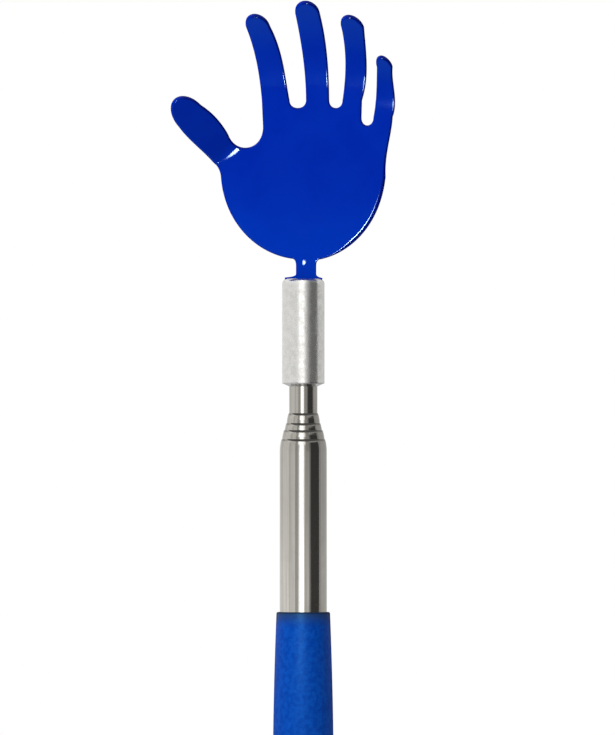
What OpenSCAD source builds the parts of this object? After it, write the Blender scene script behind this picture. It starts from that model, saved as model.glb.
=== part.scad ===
// Telescopic back scratcher: an enamelled sheet-metal hand on five nested steel tubes, held by a rubber grip.
// Millimetres. The shaft's axis is Z, the grip's end face lies on z = 0 and the palm faces -Y.
// It is drawn pushed shut. Every tube but the outer one slides out along +Z and turns on the same axis.

/* [Grip] */
// Length of the rubber grip
grip_len = 95; // [80:1:120]
// Thickness of rubber along the straight lower stretch
grip_wall = 1.5; // [1:0.1:3]
// Thickness of rubber at the mouth
grip_mouth_wall = 0.7; // [0.5:0.05:0.95]
// Length of the swell from the mouth down to the straight stretch
grip_swell_len = 40; // [20:1:60]
// Radius of the rounded closed end
grip_end_r = 3; // [1:0.1:4]
// Radius of the mouth's edge
grip_edge_r = 0.4; // [0.1:0.05:0.45]
// Thickness of rubber under the end plug
grip_floor = 4; // [3:0.5:8]

/* [Tubes] */
// Outer diameter of the outer tube
outer_d = 10; // [9:0.1:12]
// Step in diameter from one tube to the next one inside it
tube_pitch = 1; // [0.9:0.02:1.2]
// Wall of every tube
tube_wall = 0.3; // [0.2:0.01:0.32]
// Length of the outer tube that shows above the grip
outer_show = 36.7; // [25:0.1:50]
// Length of the second tube's nose that shows when pushed shut
second_show = 1.9; // [1:0.1:4]
// Length of the third tube's nose that shows when pushed shut
third_show = 1.5; // [1:0.1:4]
// Length of the fourth tube's nose that shows when pushed shut
fourth_show = 2.1; // [1:0.1:4]
// Length of the tip tube that shows under the ferrule when pushed shut
tip_show = 5.7; // [2:0.1:12]
// Length of the swaged nose at each mouth
nose_len = 2; // [1.5:0.1:3]
// Wall left at the nose's lip
nose_lip = 0.15; // [0.1:0.01:0.2]
// Radial running gap between a nose and the tube it guides
nose_gap = 0.05; // [0.03:0.01:0.08]

/* [Friction collars] */
// Length of the split bronze collar on each sliding tube
collar_len = 9; // [6:0.5:14]
// Width of the collar's slit
collar_slit = 1; // [0.5:0.1:2]
// Radial running gap on either side of a collar
collar_play = 0.03; // [0.02:0.01:0.04]
// Length of the flared foot under the collar
flare_len = 1; // [0.6:0.1:2]
// Length of the rolled stop bead above the collar
bead_len = 0.8; // [0.6:0.1:1.5]
// Radial gap between flare or bead and the next tube's bore
stop_play = 0.07; // [0.05:0.01:0.09]

/* [End plug] */
// Length of the plug inside the outer tube
plug_len = 5; // [3:0.5:10]
// Thickness of the flange that the outer tube stands on
plug_flange = 1; // [0.6:0.1:2]

/* [Ferrule] */
// Outer diameter of the aluminium ferrule
ferrule_d = 9; // [8.4:0.1:11]
// Length of the ferrule
ferrule_len = 22.7; // [18:0.1:30]
// Radial size of the chamfer at its upper end
ferrule_chamfer = 0.4; // [0.1:0.05:0.5]
// Radial size of the shallow bevel at its lower end
ferrule_bevel = 1; // [0.2:0.1:1.1]
// Depth of the socket that takes the tip tube
socket_depth = 14.4; // [8:0.1:15]
// Radial or side gap of the fixed fits
seat_fit = 0.02; // [0.01:0.005:0.05]

/* [Hand] */
// Thickness of the sheet with its enamel
sheet_t = 1.2; // [0.8:0.05:1.5]
// Radius of the round heel of the palm
palm_r = 17.5; // [16.5:0.1:18.5]
// Height of the palm's centre above the ferrule
palm_rise = 21.8; // [20.5:0.1:23]
// Width of the neck between palm and shoulders
neck_w = 4.3; // [3:0.1:6]
// Sideways offset of the neck from the shaft's axis
neck_shift = 0.6; // [0:0.05:0.8]
// Width of the shoulders that stand on the ferrule
shoulder_w = 7.7; // [7.2:0.1:8]
// Height of the stiffening rib pressed out of the neck
rib_rise = 0.3; // [0.1:0.05:0.5]
// Length of the tang inside the ferrule
tang_len = 12; // [9:0.5:16]
// Height of the index finger's tip above the ferrule
index_tip = 56.3; // [52:0.1:60]
// Height of the middle finger's tip above the ferrule
middle_tip = 59.1; // [55:0.1:63]
// Height of the ring finger's tip above the ferrule
ring_tip = 56.1; // [52:0.1:60]
// Height of the little finger's tip above the ferrule
little_tip = 47.5; // [45:0.1:52]
// Height of the two webs beside the middle finger
upper_web = 36.4; // [35.5:0.1:38]
// Height of the web beside the little finger
lower_web = 32.7; // [32:0.1:34]
// Forward curl that each finger reaches at its tip, in degrees
finger_curl = 38; // [10:1:45]
// Length of the thumb beyond its fold
thumb_len = 16.7; // [15:0.1:20]
// Direction of the thumb, in degrees from +X
thumb_dir = 133; // [128:1:138]
// Forward fold of the thumb, in degrees
thumb_fold = 28; // [10:1:40]

/* [Hidden] */
$fn = 96;

STEEL = "lightslategray";
BRONZE = "peru";
ALUMINIUM = "silver";
ENAMEL = "mediumblue";
RUBBER = "royalblue";
NYLON = "dimgray";

// Points on each curve, and a little extra length for tools that cut right through
CURVE_STEPS = 10;
BEND_STEPS = 12;
EPS = 0.01;

// Heights of the shut stack, from the grip's floor to the ferrule
flange_top = grip_floor + plug_flange;
plug_top = flange_top + plug_len;
outer_top = grip_len + outer_show;
second_top = outer_top + second_show;
third_top = second_top + third_show;
fourth_top = third_top + fourth_show;
ferrule_z = fourth_top + tip_show;
ferrule_top = ferrule_z + ferrule_len;
tip_top = ferrule_z + socket_depth;

// The gap between one tube's bore and the next tube, which the collar, flare and bead share
tube_gap = tube_pitch / 2 - tube_wall;
stop_rise = tube_gap - stop_play;

// Radius of a tube, counted from the outer one as 0
function tube_r(i) = (outer_d - i * tube_pitch) / 2;

grip_bore_r = tube_r(0) + seat_fit;
grip_r = tube_r(0) + grip_wall;
grip_mouth_r = tube_r(0) + grip_mouth_wall;

socket_r = tube_r(4) + seat_fit;
tip_bore_r = tube_r(4) - tube_wall;

// Points of a quadratic curve from a to c, pulled towards b
function curve2(a, b, c, steps = CURVE_STEPS) =
    [for (i = [0:steps]) let (t = i / steps) (1 - t) * (1 - t) * a + 2 * t * (1 - t) * b + t * t * c];

// Points of a cubic curve from a to d, leaving towards b and arriving from c
function curve3(a, b, c, d, steps = CURVE_STEPS) =
    [for (i = [0:steps]) let (t = i / steps, s = 1 - t)
        s * s * s * a + 3 * s * s * t * b + 3 * s * t * t * c + t * t * t * d];

// Points of a circular arc
function arc(centre, r, from, to, steps = CURVE_STEPS) =
    [for (i = [0:steps]) let (a = from + (to - from) * i / steps) centre + r * [cos(a), sin(a)]];

// Rubber grip: a turned sleeve with a closed round end, a straight stretch and a long swell down to its mouth
module grip() {
    swell_z = grip_len - grip_swell_len;
    profile = concat(
        [[0, 0]],
        arc([grip_r - grip_end_r, grip_end_r], grip_end_r, -90, 0),
        curve2([grip_r, swell_z], [grip_r, grip_len - grip_swell_len / 2],
               [grip_mouth_r, grip_len - grip_edge_r]),
        arc([grip_mouth_r - grip_edge_r, grip_len - grip_edge_r], grip_edge_r, 0, 90),
        [[grip_bore_r, grip_len], [grip_bore_r, grip_floor], [0, grip_floor]]
    );
    color(RUBBER) rotate_extrude() polygon(profile);
}

// Nylon plug: its flange closes the outer tube's foot, and the shut tubes stand on its top
module end_plug() {
    lead = plug_flange / 2;
    plug_r = tube_r(0) - tube_wall - seat_fit;
    profile = [
        [0, grip_floor], [tube_r(0), grip_floor], [tube_r(0), flange_top], [plug_r, flange_top],
        [plug_r, plug_top - lead], [plug_r - lead / 2, plug_top], [0, plug_top]
    ];
    color(NYLON) rotate_extrude() polygon(profile);
}

// Outline of one side of a swaged nose, from the straight tube at r to the lip at lip_r
function nose_curve(r, lip_r, top) =
    curve2([r, top - nose_len], [r, top - 0.65 * nose_len], [lip_r, top]);

// Outline of one side of a sliding tube's foot, with its flare, collar seat and stop bead
function foot_curve(r) = let (
        seat_z = plug_top + flare_len,
        bead_z = seat_z + collar_len + collar_play
    ) [
        [r + stop_rise, plug_top], [r + stop_rise, plug_top + flare_len / 2], [r, seat_z],
        [r, bead_z], [r + stop_rise, bead_z + bead_len / 3],
        [r + stop_rise, bead_z + 2 * bead_len / 3], [r, bead_z + bead_len]
    ];

function reversed(list) = [for (i = [len(list) - 1:-1:0]) list[i]];

// Outer tube: straight from the plug's flange to its swaged nose
module outer_tube() {
    r = tube_r(0);
    lip_r = tube_r(1) + nose_gap;
    profile = concat(
        [[r, flange_top]],
        nose_curve(r, lip_r + nose_lip, outer_top),
        reversed(nose_curve(r - tube_wall, lip_r, outer_top)),
        [[r - tube_wall, flange_top]]
    );
    color(STEEL) rotate_extrude() polygon(profile);
}

// Sliding tube number i: a rolled foot at the bottom and a swaged nose at the top
module sliding_tube(i, top) {
    r = tube_r(i);
    lip_r = tube_r(i + 1) + nose_gap;
    profile = concat(
        foot_curve(r),
        nose_curve(r, lip_r + nose_lip, top),
        reversed(nose_curve(r - tube_wall, lip_r, top)),
        reversed(foot_curve(r - tube_wall))
    );
    color(STEEL) rotate_extrude() polygon(profile);
}

module second_tube() { sliding_tube(1, second_top); }
module third_tube() { sliding_tube(2, third_top); }
module fourth_tube() { sliding_tube(3, fourth_top); }

// Tip tube: the same rolled foot, and a plain end inside the ferrule
module tip_tube() {
    r = tube_r(4);
    profile = concat(
        foot_curve(r),
        [[r, tip_top], [r - tube_wall, tip_top]],
        reversed(foot_curve(r - tube_wall))
    );
    color(STEEL) rotate_extrude() polygon(profile);
}

// Friction collar of sliding tube number i: a split sleeve that fills the gap to the tube round it
module collar(i) {
    inner_r = tube_r(i) + collar_play;
    outer_r = tube_r(i - 1) - tube_wall - collar_play;
    color(BRONZE)
        translate([0, 0, plug_top + flare_len])
            difference() {
                cylinder(r = outer_r, h = collar_len);
                translate([0, 0, -EPS]) cylinder(r = inner_r, h = collar_len + 2 * EPS);
                translate([0, -collar_slit / 2, -EPS])
                    cube([outer_d, collar_slit, collar_len + 2 * EPS]);
            }
}

module second_collar() { collar(1); }
module third_collar() { collar(2); }
module fourth_collar() { collar(3); }
module tip_collar() { collar(4); }

// The tang's width follows the tip tube's bore, which its lower end drops into
tang_w = 2 * sqrt(pow(tip_bore_r - seat_fit, 2) - pow(sheet_t / 2, 2));

// Ferrule: an aluminium bar with a socket for the tip tube below and a slot for the tang above
module ferrule() {
    r = ferrule_d / 2;
    lead = 2 * ferrule_chamfer;
    slot = [tang_w + 2 * seat_fit, sheet_t + 2 * seat_fit, ferrule_len];
    color(ALUMINIUM)
        translate([0, 0, ferrule_z])
            difference() {
                rotate_extrude()
                    polygon([
                        [0, 0], [r - ferrule_bevel, 0], [r, ferrule_bevel / 2], [r, ferrule_len - lead],
                        [r - ferrule_chamfer, ferrule_len], [0, ferrule_len]
                    ]);
                translate([0, 0, -EPS]) cylinder(r = socket_r, h = socket_depth + EPS);
                translate([-slot.x / 2, -slot.y / 2, socket_depth - EPS]) cube(slot);
            }
}

// A digit is [root, cap, tip, lean, centres, widths, origin, direction]. Four even stations from root to cap give
// its centre line and width, and the rounded cap leans sideways by an angle to reach the tip.
FINGER_ROOT = 38;
CAP_RISE = 2.5;
INDEX = [FINGER_ROOT, index_tip - CAP_RISE, index_tip, 16,
         [-5.85, -6.6, -7.7, -9.6], [5.9, 5.55, 5.45, 5.1], [0, 0], 90];
MIDDLE = [FINGER_ROOT, middle_tip - CAP_RISE, middle_tip, 10,
          [3.05, 2.8, 2.1, 0.9], [4.95, 5.05, 5.25, 5.2], [0, 0], 90];
RING = [FINGER_ROOT, ring_tip - CAP_RISE, ring_tip, 20,
        [10.4, 11.15, 11.1, 10.5], [4.15, 4.5, 4.4, 4.7], [0, 0], 90];
LITTLE = [lower_web + 1.8, little_tip - 2.2, little_tip, 20,
          [16.95, 17.45, 17.35, 17.3], [4.1, 4.1, 3.55, 3.35], [0, 0], 90];

// The thumb grows from the palm's rim
PALM = [0, palm_rise];
THUMB_ROOT = PALM + (palm_r - 0.9) * [cos(166), sin(166)];
THUMB = [1.5, thumb_len - 4.7, thumb_len, 0,
         [0.05, 0.45, 0.45, 0.25], [5.75, 6.75, 7.2, 6.55], THUMB_ROOT, thumb_dir];

// Value at share t of a cubic through four evenly spaced values
function through4(v, t) =
    v[0] * (1 - 3 * t) * (2 - 3 * t) * (1 - t) / 2 + v[1] * 9 * t * (2 - 3 * t) * (1 - t) / 2
    + v[2] * 9 * t * (3 * t - 1) * (1 - t) / 2 + v[3] * t * (3 * t - 1) * (3 * t - 2) / 2;

// A point of the hand's plane from a digit's own lengthwise and sideways measures
function on_digit(d, along, across) =
    d[6] + along * [cos(d[7]), sin(d[7])] + across * [sin(d[7]), -cos(d[7])];

// A point on a digit's edge: side -1 is its left edge and 1 its right one, t runs from root to cap
function digit_edge(d, side, t) =
    on_digit(d, d[0] + (d[1] - d[0]) * t, through4(d[4], t) + side * through4(d[5], t) / 2);

function digit_cap(d) = let (
        half = d[5][3] / 2,
        rise = (d[2] - d[1]) / cos(d[3])
    ) [for (i = [1:CURVE_STEPS - 1]) let (a = 180 * (1 - i / CURVE_STEPS))
        on_digit(d, d[1] + rise * sin(a) * cos(d[3]), d[4][3] + half * cos(a) - rise * sin(a) * sin(d[3]))];

// A digit's outline from its left root over the tip and down its right edge to share right_end
function digit_outline(d, right_end = 0) = concat(
    [for (i = [0:CURVE_STEPS]) digit_edge(d, -1, i / CURVE_STEPS)],
    digit_cap(d),
    [for (i = [CURVE_STEPS:-1:0]) digit_edge(d, 1, right_end + (1 - right_end) * i / CURVE_STEPS)]
);

// The rounded bottom of the gap between two fingers, down to height z
function web(from, to, z) = let (
        down_from = [0, (z - from.y) / 0.75],
        down_to = [0, (z - to.y) / 0.75]
    ) curve3(from, from + down_from, to + down_to, to);

// Webs start this far above their bottom
WEB_RISE = 1.6;
web_left = digit_edge(INDEX, 1, 0);
web_right = digit_edge(RING, 1, 0);
little_left = digit_edge(LITTLE, -1, 0);
ring_low = [web_right.x - 0.1, lower_web + WEB_RISE];

// The crook between thumb and index finger, which leaves the thumb's edge a little above its root
CROOK_START = 0.2;
CROOK_DEPTH = 5.2;
crook_from = digit_edge(THUMB, 1, CROOK_START);
crook_to = [digit_edge(INDEX, -1, 0).x + 0.25, upper_web - 4];
crook = curve3(crook_from, crook_from + CROOK_DEPTH * [0.3, -0.85], crook_to - [0, CROOK_DEPTH], crook_to);

// The palm's sides, its round heel, and the neck that runs down to the shoulders
heel_left = arc(PALM, palm_r, 180, 270 - 8, 2 * CURVE_STEPS);
heel_right = arc(PALM, palm_r, 270 + 12, 360, 2 * CURVE_STEPS);
neck_left = neck_shift - neck_w / 2;
neck_right = neck_shift + neck_w / 2;
NECK_TOP = 2.9;
NECK_FOOT = 1.3;
SHOULDER_H = 0.3;
neck_side_left = concat(
    curve2(heel_left[2 * CURVE_STEPS], [neck_left, heel_left[2 * CURVE_STEPS].y], [neck_left, NECK_TOP]),
    curve2([neck_left, NECK_FOOT], [neck_left, SHOULDER_H], [-shoulder_w / 2, SHOULDER_H])
);
neck_side_right = concat(
    curve2([shoulder_w / 2, SHOULDER_H], [neck_right, SHOULDER_H], [neck_right, NECK_FOOT]),
    curve2([neck_right, NECK_TOP], [neck_right, heel_right[0].y], heel_right[0])
);
tang = [
    [-shoulder_w / 2, 0], [-tang_w / 2, 0], [-tang_w / 2, -tang_len],
    [tang_w / 2, -tang_len], [tang_w / 2, 0], [shoulder_w / 2, 0]
];
thumb_left = digit_edge(THUMB, -1, 0);
little_right = digit_edge(LITTLE, 1, 0);
palm_left = curve2(PALM + [-palm_r, 0], [PALM.x - palm_r, thumb_left.y - 1.3], thumb_left);
palm_right = curve2(little_right, [PALM.x + palm_r + 0.2, palm_rise + 5.6], PALM + [palm_r, 0]);

// The whole blade's outline, seen from the front, with each shared end point kept once
function distinct(list) = [for (i = [0:len(list) - 1])
    if (norm(list[i] - list[(i + 1) % len(list)]) > EPS) list[i]];

hand_outline = distinct(concat(
    palm_left, digit_outline(THUMB, CROOK_START), crook, digit_outline(INDEX),
    web(web_left, digit_edge(MIDDLE, -1, 0), upper_web), digit_outline(MIDDLE),
    web(digit_edge(MIDDLE, 1, 0), digit_edge(RING, -1, 0), upper_web), digit_outline(RING),
    web(ring_low, little_left, lower_web), digit_outline(LITTLE),
    palm_right, reversed(heel_right), reversed(neck_side_right), reversed(tang), reversed(neck_side_left),
    reversed(heel_left)
));

// Every finger rolls forward from a line this far above the web beside it
CURL_RISE = 2.5;
upper_curl = upper_web + CURL_RISE;
lower_curl = lower_web + CURL_RISE;

// Leaning lines up the finger gaps, where one finger's pressing ends and the next one's starts. Each is its
// place at the height of the finger roots, and its lean, from the middle of the web to that between the caps.
function gap_line(foot_left, foot_right, head_left, head_right) = let (
        foot = (foot_left + foot_right) / 2,
        head = (head_left + head_right) / 2,
        lean = (head.x - foot.x) / (head.y - foot.y)
    ) [foot.x - lean * (foot.y - FINGER_ROOT), lean];

function on_gap(gap, z) = [gap[0] + gap[1] * (z - FINGER_ROOT), z];

REACH = 60;
gap_middle = gap_line(web_left, digit_edge(MIDDLE, -1, 0), digit_edge(INDEX, 1, 1), digit_edge(MIDDLE, -1, 1));
gap_ring = gap_line(digit_edge(MIDDLE, 1, 0), digit_edge(RING, -1, 0),
                    digit_edge(MIDDLE, 1, 1), digit_edge(RING, -1, 1));
gap_little = gap_line(ring_low, little_left, digit_edge(RING, 1, 1), digit_edge(LITTLE, -1, 1));
far_left = [-REACH / 2, 0];
far_right = [REACH / 2, 0];
split_thumb = digit_edge(INDEX, -1, 1).x - 0.5;

// The thumb folds along a line across its root
FOLD_R = 2.5;
FOLD_LAP = 2;
fold_at = on_digit(THUMB, 0.4, 0);
fold_dir = thumb_dir - 92.5;
function fold_line(x, below) = [x, fold_at.y - below + (x - fold_at.x) * tan(fold_dir)];

// A strip of sheet, flat from low up to start, then rolled forward by an angle and straight after that
module pressed_strip(left, right, low, start, bend_r, angle, straight) {
    bend_at = [-bend_r, start];
    onward = straight * [-sin(angle), cos(angle)];
    back = arc(bend_at, bend_r + sheet_t / 2, 0, angle, BEND_STEPS);
    front = arc(bend_at, bend_r - sheet_t / 2, 0, angle, BEND_STEPS);
    section = concat(
        [[-sheet_t / 2, low], [sheet_t / 2, low]],
        back,
        [back[BEND_STEPS] + onward, front[BEND_STEPS] + onward],
        reversed(front)
    );
    translate([left, 0, 0])
        rotate([90, 0, 90])
            linear_extrude(right - left) polygon(section);
}

// A cut right through the sheet, from an outline seen from the front
module front_cut(outline) {
    rotate([90, 0, 0]) translate([0, 0, -REACH / 2]) linear_extrude(REACH) polygon(outline);
}

// One finger's strip between two gap lines, rolled so that the curl is reached at its tip. It laps the flat sheet
// below the roll, and stays just clear of its neighbours in the open gaps.
CURL_LAP = 1;
GAP_INSET = [0.1, 0];

module finger_strip(left, right, start, tip) {
    bend_r = (tip - start) / sin(finger_curl);
    low = start - CURL_LAP;
    high = tip + 1;
    intersection() {
        front_cut([
            on_gap(left, low) + GAP_INSET, on_gap(right, low) - GAP_INSET,
            on_gap(right, high) - GAP_INSET, on_gap(left, high) + GAP_INSET
        ]);
        pressed_strip(-REACH / 2, REACH / 2, low, start, bend_r, finger_curl, 4);
    }
}

// The flat sheet below the rolls: all across to the little finger's roll, and short of that finger to the others
module flat_sheet() {
    low = -tang_len - 1;
    translate([-REACH / 2, -sheet_t / 2, low]) {
        cube([REACH, sheet_t, lower_curl - low]);
        cube([REACH / 2 + gap_little[0], sheet_t, upper_curl - low]);
    }
}

// All of the blade on the thumb's side of its fold, and a little of the flat palm below it
module thumb_zone(below) {
    front_cut([fold_line(split_thumb, below), [split_thumb, REACH], [-REACH, REACH], fold_line(-REACH, below)]);
}

// Stiffening rib: a slender spindle, sunk in the neck's front so that only rib_rise stands out
RIB_LEN = 4.5;
RIB_R = sheet_t / 2;
RIB_Z = 3.7;

module neck_rib() {
    bow_r = (RIB_LEN * RIB_LEN / 4 + RIB_R * RIB_R) / (2 * RIB_R);
    bow = asin(RIB_LEN / 2 / bow_r);
    translate([neck_shift - 0.4, RIB_R - rib_rise - sheet_t / 2, RIB_Z])
        rotate_extrude() polygon(concat([[0, -RIB_LEN / 2]], arc([RIB_R - bow_r, 0], bow_r, -bow, bow)));
}

// Hand: one sheet, cut to the outline, with its fingers rolled and its thumb folded towards the palm's side
module hand() {
    color(ENAMEL)
        translate([0, 0, ferrule_top]) {
            neck_rib();
            intersection() {
                front_cut(hand_outline);
                union() {
                    difference() {
                        union() {
                            flat_sheet();
                            finger_strip(far_left, gap_middle, upper_curl, index_tip);
                            finger_strip(gap_middle, gap_ring, upper_curl, middle_tip);
                            finger_strip(gap_ring, gap_little, upper_curl, ring_tip);
                            finger_strip(gap_little, far_right, lower_curl, little_tip);
                        }
                        thumb_zone(0);
                    }
                    intersection() {
                        thumb_zone(FOLD_LAP);
                        translate([fold_at.x, 0, fold_at.y])
                            rotate([0, -fold_dir, 0])
                                pressed_strip(-REACH / 2, REACH / 2, -REACH, 0, FOLD_R, thumb_fold, REACH / 2);
                    }
                }
            }
        }
}

grip();
end_plug();
outer_tube();
second_tube();
third_tube();
fourth_tube();
tip_tube();
second_collar();
third_collar();
fourth_collar();
tip_collar();
ferrule();
hand();
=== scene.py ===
# %% [markdown]
# # A telescopic back scratcher
# A blue enamelled sheet-metal hand sits on five nested steel tubes with a rubber grip at the other end.
# The CAD frame already has every piece in its place, in metres: the shaft runs up Z, the grip's end is
# at height zero and the palm faces -Y. This lesson dresses that frame piece by piece.

# %% Load the imported parts
import math

import bmesh
import bpy
import numpy as np
from mathutils.geometry import delaunay_2d_cdt
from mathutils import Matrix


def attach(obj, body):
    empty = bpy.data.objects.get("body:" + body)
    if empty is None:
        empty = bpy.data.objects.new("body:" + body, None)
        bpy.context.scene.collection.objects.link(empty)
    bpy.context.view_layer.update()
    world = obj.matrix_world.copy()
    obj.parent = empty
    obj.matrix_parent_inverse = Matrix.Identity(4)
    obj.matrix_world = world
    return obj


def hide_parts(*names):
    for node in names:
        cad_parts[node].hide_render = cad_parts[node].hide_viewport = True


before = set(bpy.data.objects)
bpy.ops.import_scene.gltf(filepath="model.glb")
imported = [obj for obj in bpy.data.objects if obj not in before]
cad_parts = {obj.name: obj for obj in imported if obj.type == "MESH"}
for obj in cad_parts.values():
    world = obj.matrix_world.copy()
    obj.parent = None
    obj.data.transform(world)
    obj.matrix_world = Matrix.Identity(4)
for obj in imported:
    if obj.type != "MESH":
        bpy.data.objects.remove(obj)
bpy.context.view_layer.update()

MM = 0.001
SCENE = bpy.context.scene

# %% [markdown]
# ## The camera
# The object was seen straight from the front through a long lens, so parallel lines stay parallel. A
# camera four metres away with a matching focal length gives that flat look and still has a true
# perspective. Its height and focal length come from how much of the tool the picture takes in.

# %% Camera
VIEW_DISTANCE = 4.0
VIEW_HEIGHT = 156.05 * MM
VIEW_MIDDLE_X, VIEW_MIDDLE_Z = 0.9 * MM, 146.9 * MM
SENSOR = 36.0

camera_data = bpy.data.cameras.new("front_camera")
camera_data.sensor_fit = "VERTICAL"
camera_data.sensor_height = SENSOR
camera_data.lens = SENSOR * VIEW_DISTANCE / VIEW_HEIGHT
camera = bpy.data.objects.new("front_camera", camera_data)
camera.location = (VIEW_MIDDLE_X, -VIEW_DISTANCE, VIEW_MIDDLE_Z)
camera.rotation_euler = (math.radians(90), 0, 0)
SCENE.collection.objects.link(camera)
SCENE.camera = camera
print("focal length in mm:", round(camera_data.lens, 1))

# %% [markdown]
# ## Effects that several finishes share
# Metal, paint and rubber have different colours but similar kinds of unevenness: lines left by drawing
# or brushing, soft marks left by hands, and a fine mottle. Each is built once as a node group with named
# inputs, so that every material can place it with its own scale. The groups only put out values.

# %% Helpers for node trees
def feed(socket, value):
    """Link another socket in, or set a plain value."""
    if isinstance(value, bpy.types.NodeSocket):
        socket.id_data.links.new(value, socket)
    else:
        socket.default_value = value


def add_node(tree, kind, inputs=None, **settings):
    """Add a node, set its properties, then feed its inputs by name or number."""
    made = tree.nodes.new(kind)
    for name, value in settings.items():
        setattr(made, name, value)
    for name, value in (inputs or {}).items():
        feed(made.inputs[name], value)
    return made


def after(kind, inputs, **settings):
    """Add a node to the tree that its inputs come from."""
    tree = next(value.id_data for value in inputs.values() if isinstance(value, bpy.types.NodeSocket))
    return add_node(tree, kind, inputs, **settings)


def math_node(operation, a, b=0.0, clamp=False):
    return after("ShaderNodeMath", {0: a, 1: b}, operation=operation, use_clamp=clamp).outputs[0]


def plus(a, b):
    return math_node("ADD", a, b)


def minus(a, b):
    return math_node("SUBTRACT", a, b)


def times(a, b):
    return math_node("MULTIPLY", a, b)


def remap(value, low, high, to_low=0.0, to_high=1.0):
    inputs = dict(enumerate((value, low, high, to_low, to_high)))
    return after("ShaderNodeMapRange", inputs, interpolation_type="SMOOTHSTEP").outputs[0]


def noise(vector, scale, detail, roughness):
    inputs = {"Vector": vector, "Scale": scale, "Detail": detail, "Roughness": roughness}
    return after("ShaderNodeTexNoise", inputs).outputs["Fac"]


def own_place(tree):
    return add_node(tree, "ShaderNodeTexCoord").outputs["Object"]


def split(vector):
    return after("ShaderNodeSeparateXYZ", {0: vector}).outputs


def declare(tree, title, way, kind="Float"):
    tree.interface.new_socket(name=title, in_out=way, socket_type="NodeSocket" + kind)


def new_effect(name, inputs, outputs):
    group = bpy.data.node_groups.new(name, "ShaderNodeTree")
    declare(group, "Vector", "INPUT", "Vector")
    for way, titles in (("INPUT", inputs), ("OUTPUT", outputs)):
        for title in titles:
            declare(group, title, way)
    return group, add_node(group, "NodeGroupInput").outputs, add_node(group, "NodeGroupOutput").inputs


print("node helpers:", [helper.__name__ for helper in (add_node, after, math_node, remap, noise, new_effect)])

# %% Drawn lines: fine streaks that run along the shaft
DRAWN_LINES, given, result = new_effect("drawn_lines", ["Lines", "Stretch"], ["Streak"])
lines, along = given["Lines"], math_node("DIVIDE", given["Lines"], given["Stretch"])
scale = after("ShaderNodeCombineXYZ", {"X": lines, "Y": lines, "Z": along}).outputs[0]
drawn_out = after("ShaderNodeVectorMath", {0: given["Vector"], 1: scale}, operation="MULTIPLY")
feed(result["Streak"], remap(noise(drawn_out.outputs[0], 1.0, 2.0, 0.55), 0.3, 0.7))
print("effect:", DRAWN_LINES.name)

# %% Handling marks: soft smudges and a few hairline scratches
HANDLING_MARKS, given, result = new_effect(
    "handling_marks", ["Patches", "Hairlines"], ["Smudge", "Scratch"])
cloud = noise(given["Vector"], given["Patches"], 4.0, 0.6)
feed(result["Smudge"], remap(cloud, 0.42, 0.68))
wander = noise(given["Vector"], given["Hairlines"], 2.0, 0.45)
hairline = remap(math_node("ABSOLUTE", minus(wander, 0.5)), 0.0, 0.006, 1.0, 0.0)
feed(result["Scratch"], times(hairline, remap(cloud, 0.5, 0.62)))
print("effect:", HANDLING_MARKS.name)

# %% Fine mottle: the uneven skin of paint, rubber and moulded plastic
FINE_MOTTLE, given, result = new_effect("fine_mottle", ["Grain", "Blotch"], ["Height", "Blotches"])
feed(result["Height"], noise(given["Vector"], given["Grain"], 3.0, 0.6))
blotch = noise(given["Vector"], given["Blotch"], 3.0, 0.6)
feed(result["Blotches"], remap(blotch, 0.35, 0.65))
print("effect:", FINE_MOTTLE.name)

# %% [markdown]
# ## Finishes
# A finish starts as one Principled shader. Numbers that hold all over the surface are set on its own
# sockets; whatever changes over the surface comes in through the effects above, read from Object
# coordinates so that it keeps its size in millimetres on every piece. Some finishes also carry painted
# shade and light: the steel is painted dark at its lips and the rubber at its mouth, as the shade in the
# gap to the next piece, and the enamel has painted shade on the rims that face away from the key lamp
# and painted light low on the heel.

# %% Helpers for finishes
def new_finish(name, **constants):
    material = bpy.data.materials.new(name)
    material.use_nodes = True
    tree = material.node_tree
    shader = tree.nodes["Principled BSDF"]
    for title, value in constants.items():
        shader.inputs[title.replace("_", " ")].default_value = value
    return material, shader, own_place(tree)


def place_effect(group, vector, **values):
    return after("ShaderNodeGroup", {"Vector": vector, **values}, node_tree=group).outputs


def blend(share, first, second):
    """Colours are written as red, green and blue, or come from another blend."""
    first, second = ((*c, 1) if isinstance(c, tuple) else c for c in (first, second))
    return after("ShaderNodeMix", {0: share, 6: first, 7: second}, data_type="RGBA").outputs[2]


def mark_on(shader, name):
    """A value that the piece's own mesh carries from point to point."""
    return add_node(shader.id_data, "ShaderNodeAttribute", attribute_name=name).outputs["Fac"]


def dress(shader, colour, roughness, height, strength, depth):
    """Feed what changes over the surface: its colour, its roughness and its fine relief."""
    bump = after("ShaderNodeBump", {"Strength": strength, "Distance": depth, "Height": height})
    varying = {"Base Color": colour, "Roughness": roughness, "Normal": bump.outputs["Normal"]}
    for title, value in varying.items():
        feed(shader.inputs[title], value)
    print("finish:", len(shader.id_data.nodes), "nodes")

# %% Polished steel: bright tubes with faint drawing lines and finger smudges
STEEL, shader, where = new_finish("polished_steel", Metallic=1.0)
streak = place_effect(DRAWN_LINES, where, Lines=7000.0, Stretch=150.0)["Streak"]
marks = place_effect(HANDLING_MARKS, where, Patches=90.0, Hairlines=180.0)
clean = blend(streak, (0.52, 0.505, 0.475), (0.44, 0.425, 0.395))
handled = blend(times(marks["Smudge"], 0.6), clean, (0.40, 0.385, 0.355))
# Painted shade: the lip mark darkens the steel almost to black, as the shade in the gap to the next tube.
colour = blend(times(mark_on(shader, "lip"), 0.5), handled, (0.05, 0.048, 0.045))
marked = plus(times(marks["Smudge"], 0.05), times(marks["Scratch"], 0.15))
rough = plus(remap(streak, 0.0, 1.0, 0.06, 0.11), marked)
dress(shader, colour, rough, streak, 0.2, 0.004 * MM)

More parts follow.
